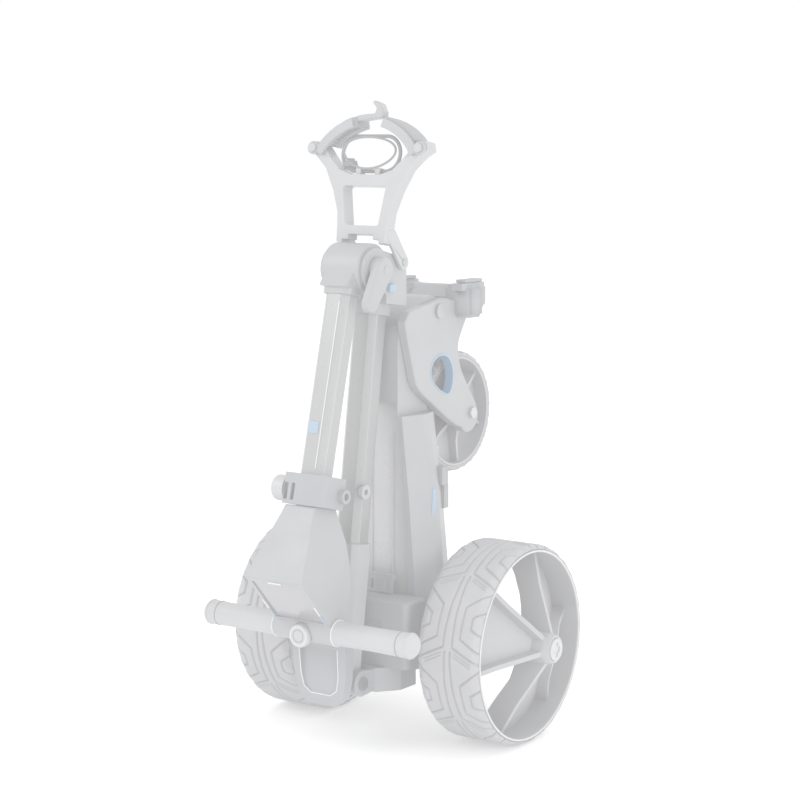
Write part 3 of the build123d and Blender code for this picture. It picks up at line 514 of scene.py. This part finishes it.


# ---------------------------------------------------------------- handle and console
# Painted highlights: light rings where the grips meet the console, standing for the shine along that edge.
for x, key, name in ((-49.8, "white", "left"), (49.8, "white", "right")):
    ring = ring_mesh(f"console_grip_highlight_{name}", at(x, -232, 182), 0.0178, 0.0009, steps=72)
    add_piece(f"console_grip_highlight_{name}", ring, "upper_stem", key)
for x, name in ((-152.0, "left"), (152.0, "right")):
    ring = ring_mesh(f"grip_seam_{name}", at(x, -232, 182), 0.0166, 0.0007, steps=72)
    add_piece(f"grip_seam_{name}", ring, "upper_stem", "seam")
for x, name in ((-167.0, "left"), (167.0, "right")):
    ring = ring_mesh(f"grip_cap_{name}", at(x, -232, 182), 0.0168, 0.0009, steps=72)
    add_piece(f"grip_cap_{name}", ring, "upper_stem", "grip")

DISPLAY_TOP, DISPLAY_LOW = (-307.0, 259.0), (-246.0, 192.0)


def on_display(x, down, proud=0.0):
    """Point on the sloping display face: down from 0 at its top edge to 1 at its bottom edge."""
    y = DISPLAY_TOP[0] + (DISPLAY_LOW[0] - DISPLAY_TOP[0]) * down
    z = DISPLAY_TOP[1] + (DISPLAY_LOW[1] - DISPLAY_TOP[1]) * down
    normal = Vector((0, DISPLAY_LOW[1] - DISPLAY_TOP[1], -(DISPLAY_LOW[0] - DISPLAY_TOP[0]))).normalized()
    return at(x, y, z) + normal * proud * 0.001


for side, name in ((-1, "left"), (1, "right")):
    for low, high, key in ((0.50, 0.72, "white"), (0.73, 0.93, "blue_soft")):
        outline = ((41.8, low), (44.6, low), (44.2, high), (41.4, high))
        corners = [on_display(side * x, d, 0.1) for x, d in outline]
        if side > 0:
            corners.reverse()
        slab(f"console_strip_{name}_{key}", corners, 0.0011, "upper_stem", key, bevel=0.0003)
# Painted highlight: a small light patch on the top edge of the display face.
highlight_patch = [on_display(x, d, 0.1) for x, d in ((-11, 0.012), (-11, 0.045), (11, 0.045), (11, 0.012))]
slab("console_highlight_patch", highlight_patch, 0.0012, "upper_stem", "white", bevel=0.0003)

# Painted highlight: a light line round the dished face of the cover below the bar, standing for the shine
# along its edge.
right_half = [(16.5, 85.4), (27.6, 93.5), (31.6, 112), (32.5, 152)]
bead = [(-x, z) for x, z in reversed(right_half)] + right_half
tongue_front = [at(x, -205.4 - (z - 70) * 0.085, z) for x, z in bead]
tube_curve("tongue_edge_highlight", tongue_front, 0.0009, "upper_stem", "white")

# Badge and light line on the upper stem's front face.
UPPER = (-145.2, 660.0)
lean = math.radians(14.14)


def on_upper_stem(x, z, proud=0.0):
    """Point on the upper stem's front face at a height."""
    y = UPPER[0] - (UPPER[1] - z) * math.tan(lean) - 18.0 / math.cos(lean)
    return at(x, y, z) + Vector((0, -math.cos(lean), math.sin(lean))) * proud * 0.001


badge = [on_upper_stem(x, z, 0.05) for x, z in ((-10, 445), (6, 445), (6, 461), (-10, 461))]
slab("stem_badge", badge, 0.0008, "upper_stem", "blue_soft", bevel=0.0003)
line = [on_upper_stem(x, z, 0.05) for x, z in ((9.4, 400), (11.0, 400), (11.0, 620), (9.4, 620))]
slab("stem_line", line, 0.0006, "upper_stem", "white", bevel=0.0002)


# ---------------------------------------------------------------- soft pads and elastic loop
def softened_copy(node, name, key, voxel, rounds):
    """Rounded, slightly crowned version of a CAD pad."""
    source = NODES[node]
    mesh = source.data.copy()
    obj = bpy.data.objects.new(name, mesh)
    scene.collection.objects.link(obj)
    weld = obj.modifiers.new("weld", "WELD")
    weld.merge_threshold = 0.00001
    remesh = obj.modifiers.new("remesh", "REMESH")
    remesh.mode = "VOXEL"
    remesh.voxel_size = voxel
    smooth = obj.modifiers.new("smooth", "SMOOTH")
    smooth.iterations = rounds
    smooth.factor = 0.6
    done = bpy.data.meshes.new_from_object(obj.evaluated_get(bpy.context.evaluated_depsgraph_get()))
    bpy.data.objects.remove(obj)
    done.materials.clear()
    body = source["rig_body"]
    piece = add_piece(name, done, body, key)
    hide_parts(node)
    return piece


softened_copy("arm_pad_left", "arm_pad_left_soft", "pad", 0.0015, 8)
softened_copy("arm_pad_right", "arm_pad_right_soft", "pad", 0.0015, 8)
softened_copy("support_pads", "support_pads_soft", "pad", 0.001, 5)

low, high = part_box("bungee_loop")
loop_middle = (low + high) / 2
tilt = math.radians(8.08)
loop_up = Vector((0, math.sin(tilt), math.cos(tilt)))
loop_points = []
for step in range(96):
    turn = step / 96 * 4
    if turn < 1:
        x, s = -24 + 48 * turn, 24.0
    elif turn < 2:
        a = (turn - 1) * math.pi
        x, s = 24 + 24 * math.sin(a), 24 * math.cos(a)
    elif turn < 3:
        x, s = 24 - 48 * (turn - 2), -24.0
    else:
        a = (turn - 3) * math.pi
        x, s = -24 - 24 * math.sin(a), -24 * math.cos(a)
    across = Vector((x * 0.001, 0, 0))
    loop_points.append(loop_middle + across + loop_up * s * 0.001)
elastic = tube_curve("elastic_loop", loop_points, 0.0026, "bag_support", "cord", cyclic=True)
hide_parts("bungee_loop")


def rounded_block(name, centre, size, body, key, bevel, up=(0, 0, 1), taper=1.0):
    """Block with rounded edges, leaning along up and narrower at its top by taper."""
    up = Vector(up).normalized()
    side = Vector((1, 0, 0))
    depth = up.cross(side).normalized()
    bm = bmesh.new()
    bmesh.ops.create_cube(bm, size=1.0)
    for vertex in bm.verts:
        x, y, z = vertex.co
        narrow = taper if z > 0 else 1.0
        reach = side * x * size[0] * narrow + depth * y * size[1] + up * z * size[2]
        vertex.co = Vector(centre) + reach * 0.001
    edges = list(bm.edges)
    bmesh.ops.bevel(bm, geom=edges, offset=bevel * 0.001, segments=4, affect="EDGES", clamp_overlap=True)
    mesh = bpy.data.meshes.new(name)
    bm.to_mesh(mesh)
    bm.free()
    return add_piece(name, mesh, body, key)


# Slider that gathers the elastic on the loop's left bend, and the doubled strand that it holds.
slider = Vector((loop_middle.x - 0.034, loop_middle.y, loop_middle.z)) - loop_up * 0.014
rounded_block("elastic_slider", slider, (27, 10, 15), "bag_support", "cord", 3.4, up=loop_up, taper=0.62)
second = []
for step in range(72):
    a = step / 72 * 2 * math.pi
    wobble = 1 + 0.035 * math.sin(3 * a + 0.6)
    across, rise = 43.0 * math.cos(a) * wobble, 21.5 * math.sin(a) * wobble + 2.0
    second.append(Vector((
        loop_middle.x + across * 0.001,
        loop_middle.y - 0.0062 + 0.0012 * math.sin(2 * a),
        loop_middle.z,
    )) + loop_up * rise * 0.001)
tube_curve("elastic_strand", second, 0.0016, "bag_support", "cord", cyclic=True)

# Moulded teeth along the inner edge of both arms' pads.
ARM_MIDDLE = loop_middle - loop_up * 0.040
for side, name, body in ((-1, "left", "left_arm"), (1, "right", "right_arm")):
    for step in range(9):
        a = math.radians(18 + step * 4.0)
        along, rise = 0.0862 * math.sin(a), 0.0862 * 0.92 * math.cos(a)
        place = ARM_MIDDLE + Vector((side * along, 0, 0)) + loop_up * rise
        outwards = (Vector((side * math.sin(a), 0, 0)) + loop_up * math.cos(a)).normalized()
        rounded_block(
            f"arm_tooth_{name}_{step}", place, (3.2, 9.0, 4.2), body, "pad", 0.9, up=outwards, taper=0.8
        )


# ---------------------------------------------------------------- lower bag support and dial
# Moulded saddle blocks under the lower bag support's pads, each with three ribs on its rear face.
for side, name in ((-1, "left"), (1, "right")):
    saddle_middle = at(side * 50, 68, 606)
    rounded_block(f"saddle_{name}", saddle_middle, (48, 36, 46), "fork", "dark", 5.0, taper=0.94)
    for step in (-1, 0, 1):
        rib = at(side * 50 + step * 14, 85.5, 590)
        rounded_block(f"saddle_rib_{name}_{step + 1}", rib, (5, 5, 14), "fork", "dark", 1.6)

dial_low, dial_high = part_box("dial_cap")
dial_middle = (dial_low + dial_high) / 2
dial_radius = (dial_high.x - dial_low.x) / 2
for share, thick, key in ((0.80, 0.0008, "white"), (0.52, 0.0006, "seam")):
    circle = []
    for step in range(48):
        a = step / 48 * 2 * math.pi
        circle.append(Vector((
            dial_middle.x + dial_radius * share * math.cos(a),
            dial_low.y + 0.0002,
            dial_middle.z + dial_radius * share * math.sin(a),
        )))
    tube_curve(f"dial_ring_{key}", circle, thick, "dial_cap", key, cyclic=True)


# ---------------------------------------------------------------- chassis details
def draped_strip(name, node, rows, direction, thickness, body, key):
    """Thin inlay on a CAD face: rows of points are dropped onto the node along direction."""
    source = NODES[node]
    direction = Vector(direction)
    bottom, top = [], []
    for row in rows:
        for point in row:
            hit, place, normal, _ = source.ray_cast(point, direction)
            if not hit:
                raise RuntimeError(f"{name}: no face below {tuple(point)}")
            if normal.dot(direction) > 0:
                normal = -normal
            bottom.append(place - normal * 0.0004)
            top.append(place + normal * thickness)
    columns, count = len(rows[0]), len(bottom)
    edge = list(range(columns))
    edge += [i * columns + columns - 1 for i in range(1, len(rows))]
    edge += [(len(rows) - 1) * columns + j for j in range(columns - 2, -1, -1)]
    edge += [i * columns for i in range(len(rows) - 2, 0, -1)]
    faces = []
    for i in range(len(rows) - 1):
        for j in range(columns - 1):
            a = i * columns + j
            quad = (a, a + 1, a + columns + 1, a + columns)
            faces.append(tuple(k + count for k in quad))
            faces.append(quad[::-1])
    for a, b in zip(edge, edge[1:] + edge[:1]):
        faces.append((b, a, a + count, b + count)[::-1])
    mesh = bpy.data.meshes.new(name)
    mesh.from_pydata(bottom + top, [], faces)
    bm = bmesh.new()
    bm.from_mesh(mesh)
    bmesh.ops.recalc_face_normals(bm, faces=bm.faces)
    bm.to_mesh(mesh)
    bm.free()
    return add_piece(name, mesh, body, key, smooth=False)


for side, name in ((-1, "left"), (1, "right")):
    stripe = []
    for step in range(9):
        z = 350 - 4.5 * step
        y = -31.5 - 0.25 * step
        edges = (-4.5 - 0.3 * step, 0.0, 5.5 - 0.7 * step)
        stripe.append([at(side * 120, y + across, z) for across in edges])
    inward = (-side, 0, 0)
    draped_strip(f"flank_stripe_{name}", "chassis_frame", stripe, inward, 0.0007, "chassis", "blue_soft")


# ---------------------------------------------------------------- floor and light
floor_material, floor_tree, floor_shader = new_material("floor", (0.93, 0.93, 0.93), 0.7, specular=0.1)
floor_place = object_coordinates(floor_tree)
floor_noise = noise(floor_tree, floor_place, 3.0, 3.0)
floor_share = remap(floor_tree, floor_noise, 0.0, 1.0)
tint(floor_tree, floor_shader, floor_share, (0.925, 0.925, 0.928), (0.935, 0.935, 0.938))
floor_shader.inputs["Emission Color"].default_value = (1.0, 1.0, 1.0, 1.0)
floor_shader.inputs["Emission Strength"].default_value = 0.25
floor_mesh = bpy.data.meshes.new("floor")
bm = bmesh.new()
bmesh.ops.create_circle(bm, cap_ends=True, segments=64, radius=14.0)
bm.to_mesh(floor_mesh)
bm.free()
floor = bpy.data.objects.new("floor", floor_mesh)
floor.location = (0, 0, GROUND - 0.0002)
floor_mesh.materials.append(floor_material)
scene.collection.objects.link(floor)

world = bpy.data.worlds.new("studio")
scene.world = world
world.use_nodes = True
world.node_tree.nodes["Background"].inputs["Color"].default_value = (1.0, 1.0, 1.0, 1.0)
world.node_tree.nodes["Background"].inputs["Strength"].default_value = 1.0
scene.view_settings.view_transform = "Standard"
# A faded picture: its dark end is lifted to light grey, and white stays white.
FADE = 0.30
scene.view_settings.use_curve_mapping = True
fade_curve = scene.view_settings.curve_mapping
fade_curve.curves[3].points[0].location = (0.0, FADE)
fade_curve.curves[3].points[1].location = (1.0, 1.0)
fade_curve.update()


def area_light(name, location, target, size, power):
    data = bpy.data.lights.new(name, "AREA")
    data.shape = "DISK"
    data.size = size
    data.energy = power
    obj = bpy.data.objects.new(name, data)
    obj.location = location
    obj.rotation_mode = "QUATERNION"
    obj.rotation_quaternion = (Vector(target) - Vector(location)).to_track_quat("-Z", "Y")
    scene.collection.objects.link(obj)


lit = at(0, -60, 430)
area_light("key", lit + Vector((-1.6, -2.2, 2.0)), lit, 1.8, 26.0)
area_light("side", lit + Vector((2.4, -0.6, 0.4)), lit, 1.4, 13.0)
area_light("rear", lit + Vector((0.6, 2.4, 1.8)), lit, 1.6, 8.0)
